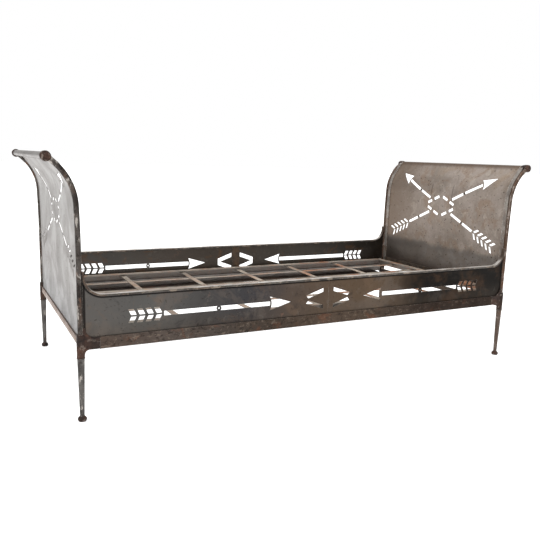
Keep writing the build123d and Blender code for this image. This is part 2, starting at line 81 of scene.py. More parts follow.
class Recipe:
    """A material under construction, with short calls for the nodes it needs."""

    def __init__(self, name):
        self.material = bpy.data.materials.new(name)
        self.material.use_nodes = True
        self.tree = self.material.node_tree
        self.tree.nodes.clear()
        self.place = self.add("ShaderNodeTexCoord").outputs["Object"]

    def add(self, kind, inputs=None, **settings):
        node = self.tree.nodes.new(kind)
        for key, value in settings.items():
            setattr(node, key, value)
        for key, value in (inputs or {}).items():
            self.feed(node.inputs[key], value)
        return node

    def feed(self, socket, value):
        if isinstance(value, bpy.types.NodeSocket):
            self.tree.links.new(value, socket)
        else:
            socket.default_value = value

    def stretched(self, stretch, shift):
        node = self.add("ShaderNodeMapping", {"Vector": self.place, "Scale": stretch, "Location": shift})
        return node.outputs["Vector"]

    def noise(self, scale, detail=4.0, rough=0.55, stretch=(1, 1, 1), shift=(0, 0, 0), warp=0.0):
        node = self.add("ShaderNodeTexNoise", {"Vector": self.stretched(stretch, shift), "Scale": scale,
                                               "Detail": detail, "Roughness": rough, "Distortion": warp})
        return node.outputs["Fac"]

    def cells(self, scale, shift):
        """Distance from the nearest of many scattered points."""
        node = self.add("ShaderNodeTexVoronoi", {"Vector": self.stretched((1, 1, 1), shift), "Scale": scale})
        return node.outputs["Distance"]

    def window(self, value, low, high, out_low=0.0, out_high=1.0, linear=False):
        """Step of a value between two limits, smooth unless it is to be linear."""
        node = self.add("ShaderNodeMapRange", {"Value": value, "From Min": low, "From Max": high,
                                               "To Min": out_low, "To Max": out_high},
                        interpolation_type="LINEAR" if linear else "SMOOTHSTEP")
        return node.outputs["Result"]

    def math(self, kind, a, b=0.0):
        node = self.add("ShaderNodeMath", operation=kind)
        self.feed(node.inputs[0], a)
        self.feed(node.inputs[1], b)
        return node.outputs[0]

    def axis(self, letter):
        node = self.add("ShaderNodeSeparateXYZ", {"Vector": self.place})
        return node.outputs[letter]

    def ramp(self, value, low, high, colours):
        """Evenly spaced colours between two values."""
        node = self.add("ShaderNodeValToRGB", {"Fac": self.window(value, low, high, linear=True)})
        stops = node.color_ramp.elements
        last = len(colours) - 1
        for index in range(1, last):
            stops.new(index / last)
        for stop, colour in zip(stops, colours):
            stop.color = colour
        return node.outputs["Color"]

    def fleck(self, colour, other, scale, share, amount, shift=(0, 0, 0), stretch=(1, 1, 1), detail=5.0):
        """Scatter patches of another colour over a share of the surface."""
        noise = self.noise(scale, detail, FLECK_ROUGHNESS, stretch, shift, FLECK_WARP)
        edge = 0.72 - 0.4 * share
        return self.mix(self.window(noise, edge, edge + FLECK_EDGE, 0.0, amount), colour, other)

    def facing(self, letter):
        """How far a surface faces along an axis, from -1 to 1."""
        normal = self.add("ShaderNodeNewGeometry").outputs["Normal"]
        return self.add("ShaderNodeSeparateXYZ", {"Vector": normal}).outputs[letter]

    def mix(self, factor, a, b):
        node = self.add("ShaderNodeMix", data_type="RGBA")
        self.feed(node.inputs[0], factor)
        self.feed(node.inputs[6], a)
        self.feed(node.inputs[7], b)
        return node.outputs[2]

    def worn_edges(self, radius):
        """1 along convex edges, 0 on flat faces."""
        soft = self.add("ShaderNodeBevel", {"Radius": radius}, samples=4).outputs[0]
        true = self.add("ShaderNodeNewGeometry").outputs["Normal"]
        dot = self.add("ShaderNodeVectorMath", operation="DOT_PRODUCT")
        self.feed(dot.inputs[0], soft)
        self.feed(dot.inputs[1], true)
        return self.window(self.math("SUBTRACT", 1.0, dot.outputs["Value"]), *CURVED_EDGE)

    def bump(self, height, strength, distance):
        node = self.add("ShaderNodeBump", {"Height": height, "Strength": strength, "Distance": distance})
        return node.outputs["Normal"]

    def finish(self, colour, roughness, normal, metallic, glow=0.0):
        shader = self.add("ShaderNodeBsdfPrincipled", {"Base Color": colour, "Roughness": roughness,
                                                       "Normal": normal, "Metallic": metallic})
        if glow:
            shader.inputs["Emission Color"].default_value = (1, 1, 1, 1)
            shader.inputs["Emission Strength"].default_value = glow
        output = self.add("ShaderNodeOutputMaterial")
        self.tree.links.new(shader.outputs[0], output.inputs[0])
        return self.material


PIT_COLOUR = srgb(34, 26, 22)
GRAIN_SCALE = 150.0
TOOTH_SCALE = 420.0
WORN_EDGE_RADIUS = 0.0025
RELIEF_HEIGHT = 0.0012


def aged_steel(name, dark, mid, warm, light, warm_share=0.5, light_share=0.3, cloud=5.0, rust=0.2,
               rust_colour=srgb(112, 70, 44), pits=0.4, pit_scale=110.0, wear=0.5,
               wear_colour=srgb(176, 170, 162), rough=(0.36, 0.6), metallic=0.75, relief=0.3, tint=None,
               shift=(0, 0, 0)):
    """Old bare steel: clouds of patina, warm oxide, fine mottling, pits, rust specks, rubbed edges.

    The shares, rust, pits, wear and relief go from 0 to 1, and the scales are per metre. A tint is a
    function that adds what belongs to one place on the bed, under the rust and the wear.
    """
    r = Recipe(name)
    clouds = r.noise(cloud, 6.0, 0.62, shift=shift, warp=0.6)
    colour = r.mix(r.window(clouds, 0.38, 0.62), dark, mid)
    drift = r.noise(cloud * 0.6, 5.0, 0.6, shift=(3.1 + shift[0], 1.7, 5.3), warp=0.9)
    colour = r.mix(r.window(drift, 0.62 - 0.3 * warm_share, 0.85 - 0.3 * warm_share), colour, warm)
    mottle = r.noise(cloud * 7.0, 6.0, 0.7, shift=(9.0, shift[0], 2.0))
    colour = r.mix(r.window(mottle, 0.75 - 0.35 * light_share, 1.0 - 0.3 * light_share), colour, light)
    grain = r.noise(GRAIN_SCALE, 5.0, 0.7, shift=(5.0, 5.0, shift[0]))
    colour = r.mix(r.window(grain, 0.35, 0.65, 0.28, 0.0), colour, dark)
    if tint:
        colour = tint(r, colour)
    specks = r.noise(cloud * 16.0, 5.0, 0.75, shift=(2.0, 6.0, shift[0]))
    patches = r.noise(cloud * 2.4, 4.0, 0.65, shift=(7.0, 2.0, 8.0), warp=1.0)
    rusty = r.math("MULTIPLY", r.window(specks, 0.5, 0.66), r.window(patches, 0.66 - rust * 0.26, 0.74))
    colour = r.mix(r.math("MULTIPLY", rusty, min(1.0, 0.35 + rust)), colour, rust_colour)
    holes = r.window(r.cells(pit_scale, shift=shift), 0.10, 0.30, 1.0, 0.0)
    sparse = r.window(r.noise(cloud * 4.0, 3.0, 0.6, shift=(1.0, 9.0, 4.0)), 0.48, 0.66)
    pitted = r.math("MULTIPLY", r.math("MULTIPLY", holes, sparse), pits)
    colour = r.mix(pitted, colour, PIT_COLOUR)
    rubbed = r.math("MULTIPLY", r.worn_edges(WORN_EDGE_RADIUS), r.window(mottle, 0.35, 0.62))
    colour = r.mix(r.math("MULTIPLY", rubbed, wear), colour, wear_colour)
    tooth = r.noise(TOOTH_SCALE, 4.0, 0.7)
    height = r.math("ADD", r.math("MULTIPLY", tooth, 0.25), r.math("MULTIPLY", mottle, 0.5))
    height = r.math("SUBTRACT", height, r.math("MULTIPLY", pitted, 1.2))
    normal = r.bump(height, relief, RELIEF_HEIGHT)
    roughness = r.math("ADD", r.window(clouds, 0.3, 0.7, rough[0], rough[1]),
                       r.math("MULTIPLY", rusty, 0.2))
    metal = r.math("SUBTRACT", metallic, r.math("MULTIPLY", rusty, metallic * 0.8))
    return r.finish(colour, roughness, normal, metal)


def paint(material, *names):
    """Give CAD nodes or new pieces one material in every slot."""
    for name in names:
        piece = nodes[name] if isinstance(name, str) else name
        slots = piece.data.materials
        if len(slots) == 0:
            slots.append(material)
        for index in range(len(slots)):
            slots[index] = material


# ---------------------------------------------------------------- stains that belong to one place on the bed
SIDE_HALF = 0.95    # the tones along a side run from minus to plus this X
# The front's near black tones at the right are a painted dark reflection.
FRONT_RAIL_TONES = ((82, 79, 76), (78, 77, 75), (66, 64, 63), (54, 53, 56), (80, 66, 55), (88, 71, 55),
                    (78, 63, 49), (26, 22, 19), (26, 22, 19), (32, 27, 23))
REAR_RAIL_TONES = ((80, 78, 76), (82, 79, 76), (80, 73, 67), (70, 62, 55), (70, 64, 58), (70, 66, 61),
                   (58, 54, 50), (50, 42, 35))
BOTTOM_BAR_TONES = ((76, 63, 55), (84, 74, 68), (70, 63, 58), (60, 50, 42), (78, 64, 53), (72, 59, 48),
                    (48, 38, 31), (44, 34, 27), (44, 30, 20))

moulding_low, moulding_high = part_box("top_moulding_front")
POST_FACE_X = moulding_high[0]    # a moulding reaches to the posts
TURN_R = 0.070    # lower edge of a moulding's upturned end
TURN_X = POST_FACE_X - TURN_R
TURN_Z = moulding_low[2] + TURN_R

# On the end sheets, heights between which a tone fades.
DARK_FOOT = (0.33, 0.43)
GREY_STAIN = (0.455, 0.487)
BROWN_ROLL = (0.868, 0.888)
COOL_SKIRT = (0.28, 0.46)
RUST_LINE = (0.287, 0.290)
TAN_FOOT = (0.270, 0.278)
SCRATCH_Y = 0.077
SCRATCH_START = (0.655, 0.670)
SCRATCH_STOP = (0.775, 0.790)
MOTIF_Z = 0.674
TIE_MARK_Y = 0.160
TIE_MARK_RISE = 0.073    # above or below the middle of the motif
TIE_MARK_R = (0.0045, 0.0065)


def distance_from(r, value, target):
    return r.math("ABSOLUTE", r.math("SUBTRACT", value, target))


def half_x(r):
    return r.math("ABSOLUTE", r.axis("X"))


def hypotenuse(r, a, b):
    return r.math("SQRT", r.math("ADD", r.math("MULTIPLY", a, a), r.math("MULTIPLY", b, b)))


def wander(r, scale, reach, detail=4.0, rough=0.6):
    """Noise about zero, to make a boundary uneven."""
    return r.math("MULTIPLY", r.math("SUBTRACT", r.noise(scale, detail, rough), 0.5), reach)


def along_side(r, tones, drift):
    """Tones from the left end of a side to its right end, with an uneven drift."""
    place = r.math("ADD", r.axis("X"), wander(r, 3.2, drift, 5.0, 0.65))
    return r.ramp(place, -SIDE_HALF, SIDE_HALF, [srgb(*tone) for tone in tones])


def painted_reflection_right_end(r, above, below):
    """Painted dark reflection: the right third of the front is nearly black, less so low down."""
    along = r.window(r.math("ADD", r.axis("X"), wander(r, 6.0, 0.15)), 0.34, 0.46)
    return r.math("MULTIPLY", along, r.window(r.axis("Z"), 0.31, 0.38, below, above))


def to_the_right(r):
    """0 over most of the bed and 1 at its right end, where the steel is browner."""
    return r.window(r.axis("X"), 0.3, 0.6)


def painted_shade_beside_post(r):
    """Painted shade: a dark line where a side sheet meets a post."""
    return r.window(half_x(r), POST_FACE_X - 0.0105, POST_FACE_X - 0.0065, 0.0, 0.88)


def below_moulding(r):
    """Distance from the moulding's lower edge, along its level run and round its upturned ends."""
    beyond = r.math("MAXIMUM", r.math("SUBTRACT", half_x(r), TURN_X), 0.0)
    down = r.math("SUBTRACT", TURN_Z, r.axis("Z"))
    return r.math("SUBTRACT", hypotenuse(r, beyond, down), TURN_R)


def front_rail_tint(r, colour):
    """Cool grey at the left, blue black before the middle, brown after it, and near black at the right from
    painted dark reflection.
    """
    colour = r.mix(0.88, colour, along_side(r, FRONT_RAIL_TONES, 0.3))
    colour = r.mix(r.window(r.axis("Z"), 0.29, 0.36, 0.4, 0.0), colour, srgb(66, 58, 50))
    colour = r.fleck(colour, srgb(94, 85, 78), 4.5, 0.56, 0.35, (7, 2, 4), detail=7.0)
    colour = r.fleck(colour, srgb(104, 84, 68), 9.0, 0.44, 0.25, (2, 2, 9), detail=7.0)
    colour = r.fleck(colour, srgb(34, 33, 35), 8.0, 0.42, 0.35, (5, 3, 1))
    colour = r.fleck(colour, srgb(104, 99, 93), 34.0, 0.35, 0.22, (1, 7, 2))
    colour = r.fleck(colour, srgb(30, 24, 20), 70.0, 0.34, 0.45, (8, 1, 6))
    # Painted dark reflection over the right third of the front.
    colour = r.mix(painted_reflection_right_end(r, 0.75, 0.4), colour, srgb(9, 7, 5))
    stain = r.window(r.noise(7.0, 6.0, 0.7, shift=(3, 8, 2)), 0.47, 0.62, 0.0, 0.5)
    colour = r.mix(r.math("MULTIPLY", stain, to_the_right(r)), colour, srgb(66, 48, 34))
    # Painted shade in a dark line beside each post.
    colour = r.mix(painted_shade_beside_post(r), colour, srgb(16, 12, 10))
    # Painted shadow, with some grime, in a dark line under the moulding.
    return r.mix(r.window(below_moulding(r), 0.004, 0.008, 0.92, 0.0), colour, srgb(14, 12, 11))


def rear_rail_tint(r, colour):
    """Grey at the left, browner to the right, and paler below the deck, where light is painted on a sheet in
    shade.
    """
    colour = r.mix(0.8, colour, along_side(r, REAR_RAIL_TONES, 0.3))
    colour = r.fleck(colour, srgb(98, 72, 50), 10.0, 0.42, 0.45, (6, 2, 4))
    colour = r.fleck(colour, srgb(112, 108, 104), 30.0, 0.35, 0.2, (3, 9, 4))
    # Painted light: the sheet below the deck, which lies in shade, is made paler.
    return r.mix(r.window(r.axis("Z"), 0.30, 0.325, 0.8, 0.0), colour, srgb(128, 122, 117))


def bar_tint(r, colour):
    """Scaly brown bar, darkest at the right from painted dark reflection; its face towards the middle of the
    bed is paler from painted light.
    """
    colour = r.mix(0.8, colour, along_side(r, BOTTOM_BAR_TONES, 0.25))
    colour = r.fleck(colour, srgb(128, 114, 101), 92.0, 0.44, 0.45, (1, 1, 3), (0.6, 1, 1))
    colour = r.fleck(colour, srgb(24, 18, 14), 76.0, 0.48, 0.65, (4, 2, 3), (0.7, 1, 1))
    colour = r.fleck(colour, srgb(98, 60, 40), 14.0, 0.42, 0.45, (7, 7, 1))
    # Painted dark reflection at the right end of the bar.
    colour = r.mix(painted_reflection_right_end(r, 0.5, 0.5), colour, srgb(34, 20, 11))
    # Painted light: the bar's face towards the middle of the bed, which lies in shade, is made paler.
    outward = r.math("MULTIPLY", r.facing("Y"), r.math("SIGN", r.axis("Y")))
    return r.mix(r.window(outward, -0.7, -0.3, 0.8, 0.0), colour, srgb(122, 116, 110))


def iron_tint(r, colour):
    """Bright rubbed flecks and dark scale."""
    colour = r.fleck(colour, srgb(150, 138, 128), 52.0, 0.40, 0.55, (3, 1, 3))
    return r.fleck(colour, srgb(22, 17, 15), 40.0, 0.46, 0.6, (4, 6, 3))


def post_tint(r, colour):
    """Upright flecks of bare steel, scale and rust, browner at the right end."""
    colour = r.fleck(colour, srgb(178, 171, 164), 60.0, 0.42, 0.7, (3, 5, 3), (1, 1, 0.4))
    colour = r.fleck(colour, srgb(26, 21, 19), 44.0, 0.45, 0.65, (4, 6, 8), (1, 1, 0.4))
    colour = r.fleck(colour, srgb(118, 84, 64), 16.0, 0.38, 0.4, (2, 6, 8), (1, 1, 0.5))
    return r.mix(r.math("MULTIPLY", to_the_right(r), 0.4), colour, srgb(92, 66, 48))


def inner_face(r, colour, uneven):
    """The inside of an end: mottled, brown above, dark close to the deck and towards the rear."""
    y, z = r.axis("Y"), r.axis("Z")
    colour = r.fleck(colour, srgb(134, 112, 94), 10.0, 0.50, 0.5, (4, 4, 4))
    colour = r.fleck(colour, srgb(186, 179, 170), 15.0, 0.42, 0.5, (1, 6, 2))
    colour = r.fleck(colour, srgb(112, 92, 78), 60.0, 0.38, 0.4, (9, 2, 5))
    colour = r.fleck(colour, srgb(190, 184, 177), 85.0, 0.38, 0.35, (2, 9, 5))
    colour = r.mix(r.window(y, 0.05, 0.42, 0.0, 0.75), colour, srgb(88, 75, 65))
    colour = r.mix(r.math("MULTIPLY", to_the_right(r), 0.25), colour, srgb(134, 110, 86))
    height = r.math("ADD", z, uneven)
    colour = r.mix(r.window(height, *GREY_STAIN, 0.7, 0.0), colour, srgb(92, 89, 86))
    colour = r.mix(r.window(height, *DARK_FOOT, 0.7, 0.0), colour, srgb(60, 50, 43))
    colour = r.mix(r.window(z, *BROWN_ROLL, 0.0, 0.8), colour, srgb(86, 68, 54))
    return r.mix(r.window(r.math("ABSOLUTE", y), 0.40, 0.435, 0.0, 0.35), colour, srgb(104, 86, 72))


def scratches(r, uneven):
    """Two thin upright scratches over the crossing of the arrows."""
    y, z = r.axis("Y"), r.axis("Z")
    aside = r.math("ABSOLUTE", r.math("ADD", y, r.math("MULTIPLY", uneven, 0.06)))
    line = r.window(distance_from(r, aside, SCRATCH_Y), 0.0008, 0.0028, 0.7, 0.0)
    reach = r.math("MULTIPLY", r.window(z, *SCRATCH_START), r.window(z, *SCRATCH_STOP, 1.0, 0.0))
    return r.math("MULTIPLY", line, reach)


def rust_spots(r):
    """Small round spots in a few places."""
    spots = r.window(r.cells(42.0, (6.0, 2.0, 1.0)), 0.06, 0.22, 0.9, 0.0)
    places = r.window(r.noise(9.0, 2.0, 0.5, shift=(2.0, 7.0, 3.0)), 0.46, 0.58)
    return r.math("MULTIPLY", spots, places)


def outer_face(r):
    """The outside of an end: pale grey with fine upright streaks, and tan rust along its foot."""
    z = r.axis("Z")
    pale = r.mix(r.window(r.noise(5.0, 5.0, 0.6), 0.35, 0.65), srgb(128, 124, 121), srgb(140, 137, 134))
    pale = r.fleck(pale, srgb(156, 152, 149), 170.0, 0.46, 0.25, (1, 2, 3), (1, 1, 0.05))
    pale = r.fleck(pale, srgb(106, 102, 98), 120.0, 0.42, 0.25, (4, 8, 1), (1, 1, 0.06))
    pale = r.fleck(pale, srgb(112, 104, 97), 90.0, 0.36, 0.3, (6, 8, 1))
    pale = r.mix(r.window(z, *COOL_SKIRT, 0.75, 0.0), pale, srgb(100, 99, 99))
    height = r.math("ADD", z, r.math("MULTIPLY", r.noise(24.0, 4.0, 0.6), 0.006))
    pale = r.mix(r.window(height, *RUST_LINE, 0.85, 0.0), pale, srgb(112, 86, 70))
    return r.mix(r.window(height, *TAN_FOOT, 0.7, 0.0), pale, srgb(146, 132, 120))


def tie_marks(r):
    """A dark punched dot on the tie halfway along each arrow shaft."""
    side = r.math("SUBTRACT", r.math("ABSOLUTE", r.axis("Y")), TIE_MARK_Y)
    rise = r.math("SUBTRACT", distance_from(r, r.axis("Z"), MOTIF_Z), TIE_MARK_RISE)
    return r.window(hypotenuse(r, side, rise), *TIE_MARK_R, 0.9, 0.0)


def end_tint(r, colour):
    """An end sheet, with the dirt of its inside and the paler steel of its outside."""
    uneven = wander(r, 9.0, 0.07)
    colour = inner_face(r, colour, uneven)
    colour = r.mix(scratches(r, uneven), colour, srgb(58, 46, 38))
    colour = r.mix(rust_spots(r), colour, srgb(56, 45, 38))
    outward = r.math("MULTIPLY", r.facing("X"), r.math("SIGN", r.axis("X")))
    colour = r.mix(r.window(outward, -0.3, -0.15), colour, outer_face(r))
    return r.mix(tie_marks(r), colour, srgb(44, 36, 31))


def moulding_tint(r, colour):
    """A painted highlight, with some rubbed wear, brightens the upper face of a moulding along its level
    run; painted shade makes its underside black.
    """
    up = r.facing("Z")
    cloudy = r.window(r.noise(22.0, 4.0, 0.6, stretch=(0.4, 1.0, 1.0)), 0.3, 0.6)
    highlight_and_wear = r.mix(cloudy, srgb(150, 138, 126), srgb(206, 202, 197))
    highlight_and_wear = r.fleck(highlight_and_wear, srgb(92, 78, 66), 70.0, 0.44, 0.6, (2, 1, 7), (0.5, 1, 1))
    colour = r.fleck(colour, srgb(146, 132, 118), 60.0, 0.50, 0.6, (3, 4, 1), (0.5, 1, 1))
    tip = r.window(half_x(r), 0.915, 0.945, 0.0, 0.8)
    colour = r.mix(tip, colour, srgb(70, 56, 47))
    # Painted highlight on the upward faces, kept off the brown tips.
    top = r.math("MULTIPLY", r.window(up, 0.3, 0.75, 0.0, 0.92), r.math("SUBTRACT", 1.0, tip))
    colour = r.mix(top, colour, highlight_and_wear)
    # Painted shade: the downward faces are near black.
    return r.mix(r.window(up, -0.75, -0.3, 0.85, 0.0), colour, srgb(18, 16, 15))


def deck_tint(r, colour):
    """The deck is pale and worn on top, and its upright faces are darker from painted shade; its straps are
    rusty at the right.
    """
    colour = r.fleck(colour, srgb(196, 188, 176), 30.0, 0.42, 0.5, (1, 5, 1))
    colour = r.fleck(colour, srgb(70, 56, 46), 44.0, 0.40, 0.5, (6, 5, 1))
    rusting = r.window(r.noise(8.0, 5.0, 0.7, shift=(3, 1, 5)), 0.44, 0.6)
    rusting = r.math("MULTIPLY", rusting, r.window(r.axis("X"), -0.3, 0.6, 0.3, 0.9))
    colour = r.mix(rusting, colour, srgb(150, 96, 62))
    straps_only = r.window(r.math("ABSOLUTE", r.axis("Y")), 0.405, 0.413, 0.9, 0.0)
    painted_shade_upright = r.mix(r.math("MULTIPLY", rusting, straps_only), srgb(104, 99, 95), srgb(152, 98, 60))
    # Painted shade: faces that don't look upwards take the darker colour, rusty on the straps.
    return r.mix(r.window(r.facing("Z"), 0.3, 0.7, 0.85, 0.0), colour, painted_shade_upright)


# ---------------------------------------------------------------- materials
RAIL = dict(warm_share=0.3, light_share=0.2, cloud=4.0, rust=0.2, pits=0.6, wear=0.6, metallic=0.93,
            relief=0.22)
front_rail = aged_steel("front_rail_sheet", srgb(62, 60, 58), srgb(84, 81, 78), srgb(80, 70, 61),
                        srgb(106, 102, 97), tint=front_rail_tint, **RAIL)
rear_rail = aged_steel("rear_rail_sheet", srgb(70, 68, 65), srgb(86, 83, 80), srgb(84, 75, 67),
                       srgb(108, 104, 99), tint=rear_rail_tint, shift=(3, 0, 0), **RAIL)
end_sheet = aged_steel("end_sheet", srgb(134, 127, 121), srgb(164, 156, 150), srgb(152, 138, 124),
                       srgb(184, 177, 170), warm_share=0.4, light_share=0.3, cloud=8.0, rust=0.35,
                       pits=0.85, pit_scale=80.0, tint=end_tint, wear=0.5, relief=0.25)
dark_bar = aged_steel("dark_bar", srgb(44, 39, 36), srgb(80, 75, 71), srgb(88, 70, 58), srgb(152, 147, 141),
                      warm_share=0.4, light_share=0.6, cloud=20.0, rust=0.35, pits=0.6, wear=0.8,
                      relief=0.4, metallic=0.85, tint=post_tint)
strip_steel = aged_steel("strip_steel", srgb(112, 104, 98), srgb(156, 150, 143), srgb(124, 100, 84),
                         srgb(200, 195, 188), warm_share=0.4, light_share=0.6, cloud=16.0, rust=0.4,
                         pits=0.5, wear=1.0, wear_colour=srgb(224, 220, 215), relief=0.3)
moulding_bar = aged_steel("moulding_bar", srgb(58, 54, 51), srgb(92, 87, 83), srgb(92, 76, 64),
                          srgb(128, 122, 115), warm_share=0.4, light_share=0.4, cloud=16.0, rust=0.3,
                          pits=0.5, wear=0.4, relief=0.4, tint=moulding_tint)
side_bar = aged_steel("side_bar", srgb(52, 44, 38), srgb(84, 73, 64), srgb(92, 74, 58),
                      srgb(116, 106, 95), warm_share=0.5, light_share=0.5, cloud=18.0, rust=0.45,
                      rust_colour=srgb(84, 52, 34), pits=0.95, wear=0.6, rough=(0.5, 0.8),
                      metallic=0.8, relief=0.7, tint=bar_tint)
rusty_bar = aged_steel("rusty_bar", srgb(52, 44, 38), srgb(84, 73, 64), srgb(92, 74, 58),
                       srgb(120, 111, 100), warm_share=0.5, light_share=0.5, cloud=18.0, rust=0.5,
                       rust_colour=srgb(96, 58, 36), pits=0.9, wear=0.6, rough=(0.5, 0.8),
                       metallic=0.7, relief=0.7)
ledge_bar = aged_steel("ledge_bar", srgb(104, 99, 96), srgb(136, 130, 126), srgb(122, 106, 94),
                       srgb(160, 154, 148), warm_share=0.4, light_share=0.4, cloud=16.0, rust=0.4,
                       pits=0.6, rough=(0.5, 0.75), metallic=0.4, relief=0.5)
leg_steel = aged_steel("leg_steel", srgb(54, 51, 49), srgb(96, 93, 90), srgb(88, 76, 67),
                       srgb(150, 147, 143), warm_share=0.25, light_share=0.5, cloud=16.0, rust=0.2,
                       pits=0.5, wear=0.5, relief=0.35, tint=post_tint)
cast_iron = aged_steel("cast_iron", srgb(36, 27, 24), srgb(66, 50, 43), srgb(88, 62, 50),
                       srgb(126, 113, 104), warm_share=0.5, light_share=0.4, cloud=26.0, rust=0.4,
                       rust_colour=srgb(100, 56, 38), pits=0.8, pit_scale=200.0, wear=0.5,
                       rough=(0.5, 0.8), metallic=0.7, relief=1.0, tint=iron_tint)
strap_steel = aged_steel("strap_steel", srgb(140, 132, 121), srgb(178, 170, 157), srgb(170, 138, 110),
                         srgb(206, 199, 187), warm_share=0.4, light_share=0.5, cloud=18.0, rust=0.8,
                         rust_colour=srgb(158, 94, 54), pits=0.5, wear=0.4, rough=(0.5, 0.75),
                         metallic=0.4, relief=0.5, tint=deck_tint)

for corner in CORNERS:
    paint(dark_bar, f"post_{corner}")
    paint(strip_steel, f"edge_strip_{corner}")
    paint(leg_steel, f"leg_{corner}")
    paint(cast_iron, f"corner_casting_{corner}")
    paint(front_rail if corner.startswith("front") else rear_rail, f"side_panel_{corner}")
for end in ENDS:
    paint(dark_bar, f"top_bar_{end}")
    paint(rusty_bar, f"end_stiffener_{end}")
    paint(strap_steel, f"deck_end_{end}")
    paint(end_sheet, f"end_panel_{end}")
paint(end_sheet, "end_bar_left")
paint(rusty_bar, "end_bar_right")
for side in SIDES:
    paint(moulding_bar, f"top_moulding_{side}")
    paint(side_bar, f"bottom_bar_{side}")
    paint(ledge_bar, f"deck_ledge_{side}")
    paint(rusty_bar, f"seam_batten_{side}")
    paint(strap_steel, f"deck_side_{side}")
paint(cast_iron, "moulding_rivets")


# ---------------------------------------------------------------- shapes that carry wear
def new_piece(name, builder, material, body, replaced):
    """Turn a bmesh into a piece that rides on a body and stands for the CAD nodes given."""
    mesh = bpy.data.meshes.new(name)
    bmesh.ops.recalc_face_normals(builder, faces=builder.faces)
    builder.to_mesh(mesh)
    builder.free()
    piece = bpy.data.objects.new(name, mesh)
    bpy.context.scene.collection.objects.link(piece)
    paint(material, piece)
    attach(piece, body)
    if replaced:
        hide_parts(*replaced)


SMOOTH_COUNT = 12    # rings with more points than this are round and shaded smooth


def join_rings(builder, rings):
    """Skin a list of rings of points that have equal counts, and close both ends."""
    loops = [[builder.verts.new(point) for point in ring] for ring in rings]
    count = len(loops[0])
    for near, far in zip(loops, loops[1:]):
        for i in range(count):
            face = builder.faces.new((near[i], near[(i + 1) % count], far[(i + 1) % count], far[i]))
            face.smooth = count > SMOOTH_COUNT
    builder.faces.new(loops[0])
    builder.faces.new(loops[-1])


SMALLEST_R = 1e-5    # keeps the rings at a lathe shape's axis open


def turned(builder, profile, centre, axis, segments, ruggedness):
    """A lathe shape: the profile gives (radius, distance along the axis) in metres."""
    phase = random.uniform(0, 2 * pi)
    rings = []
    for radius, along in profile:
        ring = []
        for i in range(segments):
            angle = 2 * pi * i / segments
            wobble = sin(3 * angle + phase) * sin(2 * angle + 90 * along)
            r = max(radius, SMALLEST_R) * (1 - ruggedness * (1 - wobble))
            across = (r * cos(angle), r * sin(angle))
            local = (across[0], across[1], along) if axis == "Z" else (across[0], along, across[1])
            ring.append(Vector(centre) + Vector(local))
        rings.append(ring)
    join_rings(builder, rings)


def middle(node):
    low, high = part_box(node)
    return [(a + b) / 2 for a, b in zip(low, high)]


def extent(node, axis):
    low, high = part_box(node)
    return high[axis] - low[axis]


DECK_SAG = 0.007
deck_half = (extent("deck_side_front", 0) / 2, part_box("deck_side_rear")[1][1])
STRAP_BEVEL = 0.0007
STRAP_STEP = 0.02    # from one ring of a strap to the next
# Unevenness of a strap: its size, and the radians of the wave per metre.
RISE_WAVE = (0.0004, 31)
SWAY_WAVE = (0.0008, 9)
WIDTH_WAVE = (0.02, 23)    # size as a share of the width


def deck_dip(x, y):
    """How far the deck has sagged at a place: most in its middle, nothing at its edges."""
    return -DECK_SAG * (1 - (x / deck_half[0]) ** 2) * (1 - (y / deck_half[1]) ** 2)


def strap_section(half_w, half_t):
    """The points round a strap's section, with bevelled corners."""
    section = []
    for side, up in ((-1, -1), (1, -1), (1, 1), (-1, 1)):
        corner_points = ((half_w, half_t - STRAP_BEVEL), (half_w - STRAP_BEVEL, half_t))
        for a, b in corner_points if side * up < 0 else reversed(corner_points):
            section.append((side * a, up * b))
    return section


def worn_strap(node, along):
    """A hammered flat strap in a CAD strap's place, sagging with the deck."""
    low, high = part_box(node)
    centre = middle(node)
    half_w = extent(node, 1 - along) / 2
    half_t = extent(node, 2) / 2
    steps = int(extent(node, along) / STRAP_STEP)
    phases = [random.uniform(0, 2 * pi) for _ in range(3)]
    rings = []
    for i in range(steps + 1):
        s = low[along] + extent(node, along) * i / steps
        place = (s, centre[1]) if along == 0 else (centre[0], s)
        fade = min(1.0, i / 3, (steps - i) / 3)
        lift = deck_dip(*place) + RISE_WAVE[0] * fade * sin(RISE_WAVE[1] * s + phases[0])
        sway = SWAY_WAVE[0] * fade * sin(SWAY_WAVE[1] * s + phases[1])
        half = half_w * (1 - WIDTH_WAVE[0] * fade * (1 + sin(WIDTH_WAVE[1] * s + phases[2])))
        ring = [(a + sway, b + lift) for a, b in strap_section(half, half_t)]
        rings.append([(s, centre[1] + a, centre[2] + b) if along == 0 else (centre[0] + a, s, centre[2] + b)
                      for a, b in ring])
    builder = bmesh.new()
    join_rings(builder, rings)
    new_piece(f"worn_{node}", builder, strap_steel, "mattress_deck", (node,))


long_straps = [f"long_strap_{number}" for number in range(1, 5)]
cross_straps = [f"cross_strap_{number}" for number in range(1, 6)]
for strap in long_straps:
    worn_strap(strap, 0)
for strap in cross_straps:
    worn_strap(strap, 1)

RIVET_HEAD = ((0.0, 0.0), (0.0055, 0.0), (0.0053, 0.0007), (0.0044, 0.0014), (0.0025, 0.0019),
              (0.0, 0.0020))    # radius and height


def deck_rivet(builder, x, y, low, high):
    """The two hammered heads of a rivet through two straps, in one turned piece."""
    size = random.uniform(0.92, 1.0)
    head = [(radius * size, high + height) for radius, height in RIVET_HEAD]
    tail = [(radius * size, low - height) for radius, height in reversed(RIVET_HEAD)]
    turned(builder, tail + head, (x, y, 0), "Z", segments=16, ruggedness=0.03)


